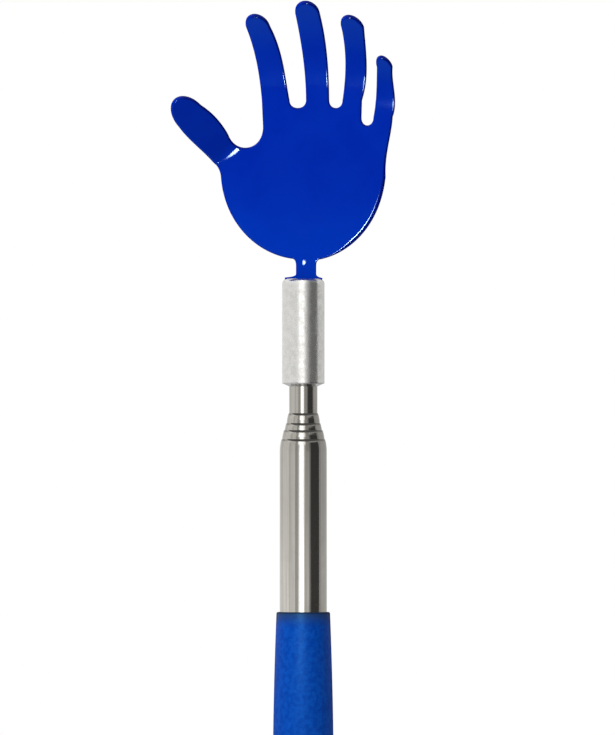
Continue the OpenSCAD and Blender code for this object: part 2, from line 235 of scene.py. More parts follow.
# %% Satin aluminium: a paler, rougher metal with pits and turned marks
ALUMINIUM, shader, where = new_finish("satin_aluminium", Metallic=1.0)
streak = place_effect(DRAWN_LINES, where, Lines=1500.0, Stretch=3.0)["Streak"]
marks = place_effect(HANDLING_MARKS, where, Patches=420.0, Hairlines=500.0)
skin = place_effect(FINE_MOTTLE, where, Grain=2600.0, Blotch=900.0)
colour = blend(skin["Blotches"], (0.745, 0.745, 0.74), (0.695, 0.695, 0.685))
worn = times(marks["Smudge"], 0.06)
rough = plus(remap(skin["Blotches"], 0.0, 1.0, 0.16, 0.29), worn)
pits = minus(skin["Height"], times(marks["Scratch"], 0.4))
dress(shader, colour, rough, plus(times(pits, 0.5), streak), 0.21, 0.03 * MM)

# %% Blue enamel: a thick glossy coat with a faint orange-peel skin
# Where the enamel gets painted light on its heel.
HEEL_LIGHT_FROM_Z, HEEL_LIGHT_TO_Z = 190 * MM, 169 * MM
HEEL_LIGHT_FROM_X, HEEL_LIGHT_TO_X = -9 * MM, -17 * MM

ENAMEL, shader, where = new_finish("blue_enamel", IOR=1.5, Specular_Tint=(0.55, 0.78, 1.0, 1))
skin = place_effect(FINE_MOTTLE, where, Grain=700.0, Blotch=120.0)
marks = place_effect(HANDLING_MARKS, where, Patches=150.0, Hairlines=150.0)
coat = blend(skin["Blotches"], (0.0004, 0.0215, 0.400), (0.0006, 0.0250, 0.420))
# Painted light: the enamel is made paler low on the heel, most of all towards the left.
place = split(where)
low = remap(place["Z"], HEEL_LIGHT_FROM_Z, HEEL_LIGHT_TO_Z)
aside = remap(place["X"], HEEL_LIGHT_FROM_X, HEEL_LIGHT_TO_X, 0.0, 0.9)
heel_painted_light = times(times(low, plus(aside, 1.0)), 0.5)
coat = blend(heel_painted_light, coat, (0.0006, 0.046, 0.53))
# Painted shade: the rim mark darkens the enamel to navy on the rims that face away from the key lamp.
colour = blend(times(mark_on(shader, "edge"), 0.85), coat, (0.0002, 0.0035, 0.16))
rough = plus(times(marks["Smudge"], 0.02), 0.05)
dress(shader, colour, rough, skin["Height"], 0.04, 0.02 * MM)

# %% Blue rubber: a matte, mottled sleeve, rubbed smoother towards its mouth, with painted shade at the mouth
RUBBED_FROM, RUBBED_TO = 70 * MM, 92 * MM
MOUTH_SHADE_FROM, MOUTH_SHADE_TO = 91.5 * MM, 95.2 * MM
MOUTH_EDGE_SHADE_FROM, MOUTH_EDGE_SHADE_TO = 94.45 * MM, 94.8 * MM

RUBBER, shader, where = new_finish(
    "blue_rubber", Specular_IOR_Level=0.06, Specular_Tint=(0.12, 0.5, 1.0, 1))
skin = place_effect(FINE_MOTTLE, where, Grain=3200.0, Blotch=1000.0)
marks = place_effect(HANDLING_MARKS, where, Patches=200.0, Hairlines=300.0)
clean = blend(skin["Blotches"], (0.0008, 0.049, 0.36), (0.0022, 0.072, 0.44))
dusty = blend(times(marks["Scratch"], 0.25), clean, (0.06, 0.15, 0.52))
height = split(where)["Z"]
# Painted shade: the rubber darkens over its last few millimetres towards the mouth, and more at the mouth's
# edge, where the tube goes in.
mouth_shaded = blend(remap(height, MOUTH_SHADE_FROM, MOUTH_SHADE_TO), dusty, (0.018, 0.05, 0.15))
colour = blend(remap(height, MOUTH_EDGE_SHADE_FROM, MOUTH_EDGE_SHADE_TO, 0.0, 0.8), mouth_shaded, (0.009, 0.022, 0.055))
rubbed = remap(height, RUBBED_FROM, RUBBED_TO, 0.6, 0.36)
rough = plus(times(marks["Smudge"], 0.1), rubbed)
grain = plus(skin["Height"], times(skin["Blotches"], 0.6))
dress(shader, colour, rough, grain, 0.3, 0.06 * MM)

# %% Spring bronze and nylon, for the pieces inside
BRONZE, shader, where = new_finish("spring_bronze", Metallic=1.0)
streak = place_effect(DRAWN_LINES, where, Lines=4000.0, Stretch=20.0)["Streak"]
marks = place_effect(HANDLING_MARKS, where, Patches=500.0, Hairlines=400.0)
colour = blend(marks["Smudge"], (0.60, 0.36, 0.15), (0.42, 0.24, 0.11))
dress(shader, colour, remap(streak, 0.0, 1.0, 0.25, 0.4), streak, 0.15, 0.01 * MM)

NYLON, shader, where = new_finish("black_nylon", IOR=1.53)
skin = place_effect(FINE_MOTTLE, where, Grain=2200.0, Blotch=300.0)
colour = blend(skin["Blotches"], (0.055, 0.055, 0.055), (0.042, 0.042, 0.044))
rough = remap(skin["Height"], 0.3, 0.7, 0.35, 0.5)
dress(shader, colour, rough, skin["Height"], 0.15, 0.02 * MM)

# %% [markdown]
# ## The nested tubes
# All five tubes follow one rule: a thin wall, a foot rolled outwards with a stop bead above it, and a
# mouth swaged in until it just clears the next tube. That makes them a good case for Geometry Nodes.
# The tree draws the wall's section from named sizes, with straight lines and quadratic curves, and
# sweeps it round a circle. It also marks the lip, where the finish paints the shade of the gap to the
# next tube. Five sets of sizes give five tubes.

# %% The tube tree: inputs and a point of the section
TUBE_SIZES = ("Radius", "Wall", "Foot Height", "Mouth Height", "Nose Length", "Lip Radius", "Lip Wall",
              "Lip Round", "Stop Rise", "Flare Length", "Bead Height", "Bead Length")
SWEEP_R = 1.0 * MM

TUBE_TREE = bpy.data.node_groups.new("swaged_tube", "GeometryNodeTree")
TUBE_TREE.is_modifier = True
for size in TUBE_SIZES:
    declare(TUBE_TREE, size, "INPUT")
declare(TUBE_TREE, "Segments", "INPUT", "Int")
declare(TUBE_TREE, "Finish", "INPUT", "Material")
declare(TUBE_TREE, "Tube", "OUTPUT", "Geometry")
given = add_node(TUBE_TREE, "NodeGroupInput").outputs
section = add_node(TUBE_TREE, "GeometryNodeJoinGeometry")


def point(radius, height):
    inputs = {"X": minus(radius, SWEEP_R), "Y": times(height, -1.0)}
    return after("ShaderNodeCombineXYZ", inputs).outputs[0]


def draw(kind, **inputs):
    """Add a line or a bend to the section."""
    made = add_node(TUBE_TREE, kind, inputs)
    TUBE_TREE.links.new(made.outputs["Curve"], section.inputs[0])


def line(start, end):
    draw("GeometryNodeCurvePrimitiveLine", Start=start, End=end)


def bend(start, middle, end, steps):
    draw("GeometryNodeCurveQuadraticBezier", Resolution=steps, Start=start, Middle=middle, End=end)


print("tube inputs:", len(given) - 1)

# %% The tube tree: drawing the section
NOSE_PULL, NOSE_STEPS = 0.72, 14
LIP_CREST, LIP_PULL_OUT, LIP_PULL_DOWN = 0.1, 0.69, 0.44
LIP_OUTER_STEPS, LIP_INNER_STEPS = 10, 5

foot, mouth, flare = given["Foot Height"], given["Mouth Height"], given["Flare Length"]
nose_start = minus(mouth, given["Nose Length"])
nose_pull = minus(mouth, times(given["Nose Length"], NOSE_PULL))
seat = plus(foot, flare)
bead, bead_length = given["Bead Height"], given["Bead Length"]
bead_top, settle = plus(bead, bead_length), times(bead_length, 0.25)


def wall_side(radius, lip):
    """One face of the wall: foot, stop bead, straight tube and nose. Returns its two ends."""
    raised = plus(radius, given["Stop Rise"])
    corners = [point(at, height) for at, height in (
        (raised, foot), (raised, plus(foot, times(flare, 0.5))),
        (radius, seat), (radius, plus(seat, settle)),
        (radius, minus(bead, settle)), (radius, bead),
        (raised, plus(bead, times(bead_length, 1 / 3))), (raised, plus(bead, times(bead_length, 2 / 3))),
        (radius, bead_top), (radius, plus(bead_top, settle)),
        (radius, minus(nose_start, settle)), (radius, nose_start))]
    for start, end in zip(corners, corners[1:]):
        line(start, end)
    lip_end = point(lip, minus(mouth, given["Lip Round"]))
    bend(corners[-1], point(radius, nose_pull), lip_end, NOSE_STEPS)
    return corners[0], lip_end


lip_in, lip_wall = given["Lip Radius"], given["Lip Wall"]
outer_foot, outer_lip = wall_side(given["Radius"], plus(lip_in, lip_wall))
inner_foot, inner_lip = wall_side(minus(given["Radius"], given["Wall"]), lip_in)
line(outer_foot, inner_foot)
crest = point(plus(lip_in, times(lip_wall, LIP_CREST)), mouth)
pull_height = minus(mouth, times(given["Lip Round"], LIP_PULL_DOWN))
pull = point(plus(lip_in, times(lip_wall, LIP_PULL_OUT)), pull_height)
bend(outer_lip, pull, crest, LIP_OUTER_STEPS)
bend(crest, point(lip_in, mouth), inner_lip, LIP_INNER_STEPS)
print("section strokes:", len(section.inputs[0].links))

# %% The tube tree: sweeping and marking
LIP_SHADE_FROM, LIP_SHADE_TO = 0.55 * MM, 0.25 * MM
SEAM = 0.002 * MM


def then(kind, inputs, **settings):
    """Add one more step to the tree and return what it puts out first."""
    return add_node(TUBE_TREE, kind, inputs, **settings).outputs[0]


path = then("GeometryNodeCurvePrimitiveCircle", {"Radius": SWEEP_R, "Resolution": given["Segments"]})
path = then("GeometryNodeSetCurveNormal", {"Curve": path}, mode="Z_UP")
swept = then("GeometryNodeCurveToMesh", {"Curve": path, "Profile Curve": section.outputs[0]})
swept = then("GeometryNodeMergeByDistance", {"Geometry": swept, "Distance": SEAM})
height = split(then("GeometryNodeInputPosition", {}))["Z"]
# Painted shade: the lip mark rises over the last half millimetre below the mouth, where the steel finish
# paints the shade of the gap to the next tube.
lip_painted_shade = remap(height, minus(mouth, LIP_SHADE_FROM), minus(mouth, LIP_SHADE_TO))
swept = then("GeometryNodeStoreNamedAttribute", {"Geometry": swept, "Name": "lip", "Value": lip_painted_shade},
             data_type="FLOAT", domain="POINT")
swept = then("GeometryNodeRealizeInstances", {"Geometry": swept})
swept = then("GeometryNodeSetMaterial", {"Geometry": swept, "Material": given["Finish"]})
add_node(TUBE_TREE, "NodeGroupOutput", {"Tube": swept})
print("tube tree:", len(TUBE_TREE.nodes), "nodes")

# %% From a node tree to a plain mesh
SMOOTH_ANGLE = math.radians(32)
WELD = 0.0005 * MM


def finish_mesh(mesh):
    """Weld, turn the faces outwards, and shade smooth apart from true corners."""
    work = bmesh.new()
    work.from_mesh(mesh)
    bmesh.ops.remove_doubles(work, verts=work.verts, dist=WELD)
    bmesh.ops.dissolve_degenerate(work, edges=work.edges, dist=WELD)
    bmesh.ops.recalc_face_normals(work, faces=work.faces)
    work.to_mesh(mesh)
    work.free()
    mesh.shade_smooth()
    mesh.set_sharp_from_angle(angle=SMOOTH_ANGLE)


def keep_result(piece, modifier):
    """What the modifier makes becomes the piece's plain mesh."""
    mesh = bpy.data.meshes.new_from_object(piece.evaluated_get(bpy.context.evaluated_depsgraph_get()))
    piece.modifiers.remove(modifier)
    piece.data = mesh
    mesh.name = piece.name
    finish_mesh(mesh)


def grow_from_tree(name, tree, values):
    seed = bpy.data.objects.new(name, bpy.data.meshes.new(name + "_seed"))
    SCENE.collection.objects.link(seed)
    modifier = seed.modifiers.new("grow", "NODES")
    modifier.node_group = tree
    for item in tree.interface.items_tree:
        if item.in_out == "INPUT":
            modifier[item.identifier] = values[item.name]
    keep_result(seed, modifier)
    return seed


print("corners stay sharp above", round(math.degrees(SMOOTH_ANGLE)), "degrees")

# %% Five tubes
OUTER_R, TUBE_PITCH, TUBE_WALL = 5.0 * MM, 0.5 * MM, 0.3 * MM
TUBE_SEGMENTS, LAST_TUBE = 128, 4


def tube_radius(number):
    return OUTER_R - TUBE_PITCH * number


def make_tube(number, node, body, foot, mouth):
    """Tube number 0 is the outer one; the last has a plain end inside the ferrule."""
    slides, swaged = number > 0, number < LAST_TUBE
    radius = tube_radius(number)
    sizes = {
        "Radius": radius, "Wall": TUBE_WALL, "Foot Height": foot, "Mouth Height": mouth,
        "Nose Length": 2.0 * MM if slides else 2.6 * MM,
        "Lip Radius": tube_radius(number + 1) + 0.05 * MM if swaged else radius - TUBE_WALL,
        "Lip Wall": 0.28 * MM if swaged else TUBE_WALL,
        "Lip Round": 0.75 * MM if swaged else 0.1 * MM,
        "Stop Rise": 0.13 * MM if slides else 0.0, "Flare Length": 1.0 * MM,
        "Bead Height": foot + 10.03 * MM, "Bead Length": 0.8 * MM,
        "Segments": TUBE_SEGMENTS, "Finish": STEEL,
    }
    tube = grow_from_tree(node + "_polished", TUBE_TREE, sizes)
    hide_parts(node)
    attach(tube, body)
    print(node, "faces:", len(tube.data.polygons))
    return tube


TUBES = [
    make_tube(0, "outer_tube", "handle", 5.0 * MM, 131.7 * MM),
    make_tube(1, "second_tube", "second_stage", 10.0 * MM, 133.6 * MM),
    make_tube(2, "third_tube", "third_stage", 10.0 * MM, 135.1 * MM),
    make_tube(3, "fourth_tube", "fourth_stage", 10.0 * MM, 137.2 * MM),
    make_tube(4, "tip_tube", "head", 10.0 * MM, 157.3 * MM),
]

# %% [markdown]
# ## Turned pieces: the grip and the ferrule
# Both are round, so each is one section turned round the shaft. A short function walks round the
# section and joins neighbouring rings with faces. The ferrule's slot for the tang is then cut with a
# Boolean, as a slitting saw would do it on the real bar.

# %% Turning a section
TURN_SEGMENTS = 144
STEPS = 40


def make_piece(name, shape, finish):
    """A bmesh becomes an object with one finish."""
    mesh = bpy.data.meshes.new(name)
    shape.to_mesh(mesh)
    shape.free()
    mesh.materials.append(finish)
    piece = bpy.data.objects.new(name, mesh)
    SCENE.collection.objects.link(piece)
    return piece


def join_rows(shape, rows, closed):
    """Faces between neighbouring rows of points. A row of one point is a pole."""
    count = max(len(row) for row in rows)
    for one, other in zip(rows, rows[1:]):
        for k in range(count if closed else count - 1):
            n = (k + 1) % count
            corners = [one[k % len(one)], one[n % len(one)], other[n % len(other)], other[k % len(other)]]
            shape.faces.new(list(dict.fromkeys(corners)))


def arc(centre, radius, start, end, steps):
    angles = np.radians(np.linspace(start, end, steps + 1))
    return [(centre[0] + radius * math.cos(a), centre[1] + radius * math.sin(a)) for a in angles]


def curve(*points):
    """A Bezier curve from the first point to the last, pulled towards those between them."""
    n, points = len(points) - 1, np.array(points, float)
    return [sum(math.comb(n, k) * (1 - t) ** (n - k) * t ** k * p for k, p in enumerate(points))
            for t in np.linspace(0, 1, STEPS + 1)]


def turn_section(name, section, finish):
    """Section points are (radius, height) in mm, from the axis round to the axis again."""
    shape = bmesh.new()
    turns = [2 * math.pi * k / TURN_SEGMENTS for k in range(TURN_SEGMENTS)]
    rings = [[shape.verts.new((radius * MM * math.cos(a), radius * MM * math.sin(a), height * MM))
              for a in (turns if radius > 0 else turns[:1])] for radius, height in section]
    join_rows(shape, rings, closed=True)
    piece = make_piece(name, shape, finish)
    finish_mesh(piece.data)
    return piece


print("segments of a turned piece:", TURN_SEGMENTS)

# %% The rubber grip
GRIP_LENGTH, GRIP_R, GRIP_MOUTH_R, GRIP_BORE_R, GRIP_FLOOR = 95.0, 6.49, 5.7, 5.02, 4.0
END_ROUND, MOUTH_ROUND, MOUTH_EASE = 3.0, 0.4, 0.08
STRAIGHT_FROM, STRAIGHT_TO, STRAIGHT_RINGS = 6, 52, 24
SWELL_LOW, SWELL_PULL = 55, 75
GRIP_SECTION = (
    [(0, 0)]
    + arc((GRIP_R - END_ROUND, END_ROUND), END_ROUND, -90, 0, 14)
    + [(GRIP_R, z) for z in np.linspace(STRAIGHT_FROM, STRAIGHT_TO, STRAIGHT_RINGS)]
    + curve((GRIP_R, SWELL_LOW), (GRIP_R, SWELL_PULL), (GRIP_MOUTH_R, GRIP_LENGTH - MOUTH_ROUND))
    + arc((GRIP_MOUTH_R - MOUTH_ROUND, GRIP_LENGTH - MOUTH_ROUND), MOUTH_ROUND, 9, 90, 8)
    + [(GRIP_BORE_R + MOUTH_EASE, GRIP_LENGTH), (GRIP_BORE_R, GRIP_LENGTH - MOUTH_EASE),
       (GRIP_BORE_R, GRIP_FLOOR), (0, GRIP_FLOOR)]
)
grip = turn_section("grip_sleeve", GRIP_SECTION, RUBBER)
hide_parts("grip")
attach(grip, "handle")
print("grip faces:", len(grip.data.polygons))

# %% The ferrule
FERRULE_LOW, FERRULE_TOP, FERRULE_R = 142.9, 165.6, 4.5
SOCKET_R, TIP_SEAT = 3.02, 157.3
SLOT_SIZE, SLOT_OVERCUT = (5.26, 1.24, 20.0), 0.01
CROWN_R, CROWN_RISE, CROWN_DROP, CROWN_STEPS = 3.2, 0.2, 1.15, 14
FOOT_EDGE = ((-0.35, 0.5), (-0.1, 0.55), (-0.03, 0.62), (0, 0.75), (0, 0.9), (0, 8), (0, 15))


def dome_height(radius):
    """The ferrule's top is flat inside and rolls over to the wall; the hand's shoulders rest on it."""
    out = np.clip((radius - CROWN_R) / (FERRULE_R - CROWN_R), 0, 1)
    return FERRULE_TOP + CROWN_RISE - CROWN_DROP * (1 - np.sqrt(1 - out ** 2))


crown = CROWN_R + (FERRULE_R - CROWN_R) * np.cos(np.linspace(0, math.pi / 2, CROWN_STEPS + 1))
FERRULE_SECTION = (
    [(0, TIP_SEAT), (SOCKET_R, TIP_SEAT), (SOCKET_R, FERRULE_LOW)]
    + [(FERRULE_R + out, FERRULE_LOW + rise) for out, rise in FOOT_EDGE]
    + [(FERRULE_R, FERRULE_TOP - 1.5), (FERRULE_R, FERRULE_TOP - 1.25)]
    + [(r, dome_height(r)) for r in crown]
    + [(r, FERRULE_TOP + CROWN_RISE) for r in (CROWN_R - 0.1, CROWN_R / 2, 0)]
)
ferrule = turn_section("ferrule_turned", FERRULE_SECTION, ALUMINIUM)

saw_shape = bmesh.new()
bmesh.ops.create_cube(saw_shape, size=1.0)
for corner in saw_shape.verts:
    corner.co.x *= SLOT_SIZE[0] * MM
    corner.co.y *= SLOT_SIZE[1] * MM
    corner.co.z = corner.co.z * SLOT_SIZE[2] * MM + (TIP_SEAT - SLOT_OVERCUT + SLOT_SIZE[2] / 2) * MM
saw = make_piece("slot_saw", saw_shape, ALUMINIUM)
cut = ferrule.modifiers.new("slot", "BOOLEAN")
cut.object = saw
cut.solver = "EXACT"
keep_result(ferrule, cut)
bpy.data.objects.remove(saw)
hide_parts("ferrule")
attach(ferrule, "head")
print("ferrule faces:", len(ferrule.data.polygons))

# %% [markdown]
# ## The hand
# The real hand is one piece of sheet steel: blanked to an outline, its fingers rolled forward and its
# thumb folded, then dipped in enamel so thick that every edge is round. It could be carved from a solid,
# but it is easier to treat it as the press does. First the flat outline is drawn, digit by digit; then
# points inside it are joined into a skin; last, every point is carried through the pressing, on the
# front and on the back of the sheet, and a round rim joins the two.

# %% Drawing a digit
DATUM = FERRULE_TOP
SHEET = 1.2


def turn(degrees):
    return np.array([math.cos(math.radians(degrees)), math.sin(math.radians(degrees))])


def through4(v, t):
    """A cubic through four evenly spaced values."""
    return (v[0] * (1 - 3 * t) * (2 - 3 * t) * (1 - t) / 2 + v[1] * 9 * t * (2 - 3 * t) * (1 - t) / 2
            + v[2] * 9 * t * (3 * t - 1) * (1 - t) / 2 + v[3] * t * (3 * t - 1) * (3 * t - 2) / 2)


class Digit:
    """A finger or thumb: centre line and width at four stations, and a rounded cap that leans."""

    def __init__(self, root, cap, tip, lean, centres, widths, origin=(0.0, 0.0), direction=90.0):
        self.root, self.cap, self.tip, self.lean = root, cap, tip, math.radians(lean)
        self.centres, self.widths = centres, widths
        self.origin, self.ahead = np.array(origin), turn(direction)
        self.aside = np.array([self.ahead[1], -self.ahead[0]])

    def at(self, along, across):
        return self.origin + along * self.ahead + across * self.aside

    def edge(self, side, t):
        along = self.root + (self.cap - self.root) * t
        return self.at(along, through4(self.centres, t) + side * through4(self.widths, t) / 2)

    def tip_cap(self):
        rise = (self.tip - self.cap) / math.cos(self.lean)
        centre, half = self.centres[3], self.widths[3] / 2
        return [self.at(self.cap + rise * math.sin(a) * math.cos(self.lean),
                        centre + half * math.cos(a) - rise * math.sin(a) * math.sin(self.lean))
                for a in np.linspace(math.pi, 0, STEPS + 1)[1:-1]]

    def outline(self, right_end=0.0):
        shares = np.linspace(0, 1, STEPS + 1)
        return ([self.edge(-1, t) for t in shares] + self.tip_cap()
                + [self.edge(1, right_end + (1 - right_end) * t) for t in shares[::-1]])


PALM_R, PALM_RISE = 17.5, 21.8
PALM = np.array([0.0, PALM_RISE])
ROOT = 38
INDEX = Digit(ROOT, 53.8, 56.3, 16, [-5.85, -6.6, -7.7, -9.6], [5.9, 5.6, 5.5, 5.1])
MIDDLE = Digit(ROOT, 56.6, 59.07, 10, [3.05, 2.8, 2.1, 0.9], [4.95, 5.05, 5.25, 5.2])
RING = Digit(ROOT, 53.6, 56.1, 20, [10.4, 11.15, 11.1, 10.5], [4.15, 4.55, 4.5, 4.8])
LITTLE = Digit(34.5, 45.3, 47.5, 20, [16.95, 17.45, 17.35, 17.3], [4.1, 4.1, 3.55, 3.35])
THUMB = Digit(1.5, 12, 16.7, 0, [0.05, 0.45, 0.45, 0.25], [5.75, 6.75, 7.2, 6.55],
              PALM + (PALM_R - 0.9) * turn(166), 133)
print("digits reach:", [digit.tip for digit in (INDEX, MIDDLE, RING, LITTLE)])

# %% Drawing the whole outline
UPPER_WEB, LOWER_WEB = 36.4, 32.7
NECK_AT, NECK_WIDE = 0.6, 4.3
NECK_LEFT, NECK_RIGHT = NECK_AT - NECK_WIDE / 2, NECK_AT + NECK_WIDE / 2
SHOULDER_LEFT, SHOULDER_RIGHT, SHOULDER_RISE, SHOULDER_GAP = -3.92, 4.08, 0.4, 0.01
NECK_FOOT, NECK_TOP = 1.05, 2.9
TANG_HALF, TANG_LENGTH = 2.61, 12.0
CROOK_PULL, CROOK_ON_THUMB = 5.2, 0.2
SIDE_PULLS = np.array([[18.75, 30.5], [17.25, 26.5]])
CURVE_REACH = 0.75


def web(start, end, height):
    """The curve comes only part of the way to its pulls, so they lie beyond the web's height."""
    pulls = [p + [0, (height - p[1]) / CURVE_REACH] for p in (start, end)]
    return curve(start, *pulls, end)


def rests(x):
    """Height, from the ferrule's nominal top, at which the hand stands on the dome."""
    return dome_height(abs(x)) - FERRULE_TOP + SHOULDER_GAP


def heel(start, end, radii):
    """The palm's lower edge: nearly a circle, its radius eased through four values."""
    shares = np.linspace(0, 1, 2 * STEPS)
    return [PALM + through4(radii, t) * turn(start + (end - start) * t) for t in shares]


heel_right = heel(360, 282, [PALM_R, PALM_R - 0.27, PALM_R + 0.1, PALM_R + 0.42])
heel_left = heel(262, 180, [PALM_R + 0.08, PALM_R - 0.07, PALM_R - 0.24, PALM_R])
shoulder_right = [SHOULDER_RIGHT, rests(SHOULDER_RIGHT) + SHOULDER_RISE]
shoulder_left = [SHOULDER_LEFT, rests(SHOULDER_LEFT) + SHOULDER_RISE]
neck_right = (curve(heel_right[-1], [NECK_RIGHT, heel_right[-1][1]], [NECK_RIGHT, NECK_TOP])
              + curve([NECK_RIGHT, NECK_FOOT], [NECK_RIGHT + 0.1, 0.55], shoulder_right))
neck_left = (curve(shoulder_left, [NECK_LEFT - 0.1, 0.6], [NECK_LEFT, NECK_FOOT])
             + curve([NECK_LEFT, NECK_TOP], [NECK_LEFT, heel_left[0][1]], heel_left[0]))
tang = [(SHOULDER_RIGHT, rests(SHOULDER_RIGHT)), (TANG_HALF, rests(TANG_HALF)), (TANG_HALF, -TANG_LENGTH),
        (-TANG_HALF, -TANG_LENGTH), (-TANG_HALF, rests(TANG_HALF)), (SHOULDER_LEFT, rests(SHOULDER_LEFT))]
thumb_left, crook_from = THUMB.edge(-1, 0), THUMB.edge(1, CROOK_ON_THUMB)
crook_to = np.array([INDEX.edge(-1, 0)[0] + 0.25, UPPER_WEB - 4])
crook_pull = crook_from + [CROOK_PULL * 0.3, -CROOK_PULL * 0.85]
crook = curve(crook_from, crook_pull, crook_to - [0, CROOK_PULL], crook_to)
ring_low = np.array([RING.edge(1, 0)[0] - 0.1, LOWER_WEB + 1.6])
HAND_OUTLINE = np.array([tuple(p) for p in (
    curve(PALM - [PALM_R, 0], [-PALM_R - 0.15, thumb_left[1] - 1.3], thumb_left)
    + THUMB.outline(CROOK_ON_THUMB) + crook + INDEX.outline()
    + web(INDEX.edge(1, 0), MIDDLE.edge(-1, 0), UPPER_WEB) + MIDDLE.outline()
    + web(MIDDLE.edge(1, 0), RING.edge(-1, 0), UPPER_WEB) + RING.outline()
    + web(ring_low, LITTLE.edge(-1, 0), LOWER_WEB) + LITTLE.outline()
    + curve(LITTLE.edge(1, 0), *SIDE_PULLS, PALM + [PALM_R, 0])
    + heel_right + neck_right + tang + neck_left + heel_left)])
print("outline:", len(HAND_OUTLINE), "points,", HAND_OUTLINE.min(0).round(2), HAND_OUTLINE.max(0).round(2))

# %% Evening out the outline
RIM_SPACING, CORNER_ANGLE, SAME_PLACE = 0.3, 35.0, 1e-4


def even_out(points, spacing):
    """The same closed line with evenly spaced points and its true corners kept."""
    keep = [p for p, q in zip(points, np.roll(points, -1, 0)) if np.linalg.norm(q - p) > SAME_PLACE]
    points = np.array(keep)
    before, after = points - np.roll(points, 1, 0), np.roll(points, -1, 0) - points
    swing = np.abs(np.degrees(np.arctan2(before[:, 0] * after[:, 1] - before[:, 1] * after[:, 0],
                                         (before * after).sum(1))))
    corners = np.flatnonzero(swing > CORNER_ANGLE)
    result = []
    for start, end in zip(corners, np.roll(corners, -1)):
        stretch = np.arange(start, end + 1 if end > start else end + 1 + len(points)) % len(points)
        run = points[stretch]
        travelled = np.concatenate([[0], np.cumsum(np.linalg.norm(np.diff(run, axis=0), axis=1))])
        count = max(1, round(travelled[-1] / spacing))
        steps = np.linspace(0, travelled[-1], count + 1)[:-1]
        result += list(np.column_stack([np.interp(steps, travelled, run[:, k]) for k in (0, 1)]))
    return np.array(result)


def inward_normals(points):
    """The outline runs clockwise, so the sheet lies on its right."""
    ahead = np.roll(points, -1, 0) - points
    ahead /= np.linalg.norm(ahead, axis=1)[:, None]
    both = ahead + np.roll(ahead, 1, 0)
    both /= np.linalg.norm(both, axis=1)[:, None]
    return np.column_stack([both[:, 1], -both[:, 0]])


RIM = even_out(HAND_OUTLINE, RIM_SPACING)
RIM_INWARD = inward_normals(RIM)
print("rim:", len(RIM), "points")

# %% [markdown]
# ### Pressing
# A point keeps its place seen from the front, on the back of the sheet, and the press only decides how
# far it comes forward. Fingers roll on a long arc. The thumb turns on a bend that is wide beside the index
# finger and tight at the outer edge, and then runs straight. Because the rim is cut square to the sheet,
# its thickness shows at the curled tips.

# %% The press
CURL, FOLD = math.radians(38), math.radians(27.4)
CURL_RISE = 2.5
SEEN_DEPTH = 0.29
FOLD_AT, FOLD_ALONG = np.array([-16.79, 25.24]), turn(26.6)
FOLD_AHEAD = np.array([-FOLD_ALONG[1], FOLD_ALONG[0]])
FOLD_CONE = (3.0, 1.28)
FOLD_ROUND, FOLD_TIGHTEST = (4.4, 2.38, -0.37), 0.8
SPLIT_THUMB = INDEX.edge(-1, 1)[0] - 0.5


def gap_line(left_digit, right_digit, low_left=None):
    """A leaning line up the middle of a gap: its place at the roots' height and its lean."""
    foot = ((left_digit.edge(1, 0) if low_left is None else low_left) + right_digit.edge(-1, 0)) / 2
    head = (left_digit.edge(1, 1) + right_digit.edge(-1, 1)) / 2
    lean = (head[0] - foot[0]) / (head[1] - foot[1])
    return foot[0] - lean * (foot[1] - ROOT), lean


GAPS = [(-100, 0), gap_line(INDEX, MIDDLE), gap_line(MIDDLE, RING),
        gap_line(RING, LITTLE, ring_low), (100, 0)]
WEBS = ((INDEX, UPPER_WEB), (MIDDLE, UPPER_WEB), (RING, UPPER_WEB), (LITTLE, LOWER_WEB))
ROLLS = [(GAPS[k], GAPS[k + 1], height + CURL_RISE, digit.tip) for k, (digit, height) in enumerate(WEBS)]


def press(flat, depth):
    """Carry front-view points forward. Depth runs from -SHEET/2 in front to SHEET/2 at the back."""
    x, z = flat[:, 0].copy(), flat[:, 1].copy()
    y = depth.copy()
    along = (flat - FOLD_AT) @ FOLD_ALONG
    fold_r = np.maximum(FOLD_ROUND[0] + FOLD_ROUND[1] * along + FOLD_ROUND[2] * along ** 2, FOLD_TIGHTEST)
    cone_r = FOLD_CONE[0] + FOLD_CONE[1] * along
    beyond = (flat - FOLD_AT) @ FOLD_AHEAD + (fold_r - cone_r) * math.tan(FOLD / 2)
    on_thumb = (x < SPLIT_THUMB) & (beyond > 0)
    above_root = flat[:, 1] - ROOT
    for left, right, start, tip in ROLLS:
        roll_r = (tip - start) / math.sin(CURL)
        between = (x >= left[0] + left[1] * above_root) & (x < right[0] + right[1] * above_root)
        rolled = ~on_thumb & between & (flat[:, 1] > start)
        angle = np.arcsin(np.clip((flat[rolled, 1] - start) / (roll_r + SEEN_DEPTH), 0, 1))
        reach = roll_r + depth[rolled]
        y[rolled] = -roll_r + reach * np.cos(angle)
        z[rolled] = start + reach * np.sin(angle)
    fold_r = fold_r[on_thumb]
    back_r = fold_r + SEEN_DEPTH
    v = beyond[on_thumb]
    angle = np.arcsin(np.clip(v / back_r, 0, math.sin(FOLD)))
    straight = np.maximum(v - back_r * math.sin(FOLD), 0) / math.cos(FOLD)
    reach = fold_r + depth[on_thumb]
    moved = reach * np.sin(angle) + straight * math.cos(FOLD) - v
    y[on_thumb] = -fold_r + reach * np.cos(angle) - straight * math.sin(FOLD)
    x[on_thumb] += moved * FOLD_AHEAD[0]
    z[on_thumb] += moved * FOLD_AHEAD[1]
    return np.column_stack([x, y, z + DATUM]) * MM


print("finger gaps:", [(round(float(at), 2), round(float(lean), 3)) for at, lean in GAPS[1:-1]])

# %% [markdown]
# ### The skin
# The flat faces need points inside, or the rolled fingers would show long slivers. A grid of points a
# little inside the rim, closer together round the neck's rib and along the thumb's bend, is joined by a
# Delaunay triangulation. The rib is a small blunt swelling on the front; its back is slightly hollow.
# The rim is a quarter round on each side, wider on the heel, where the enamel ran down before it set.

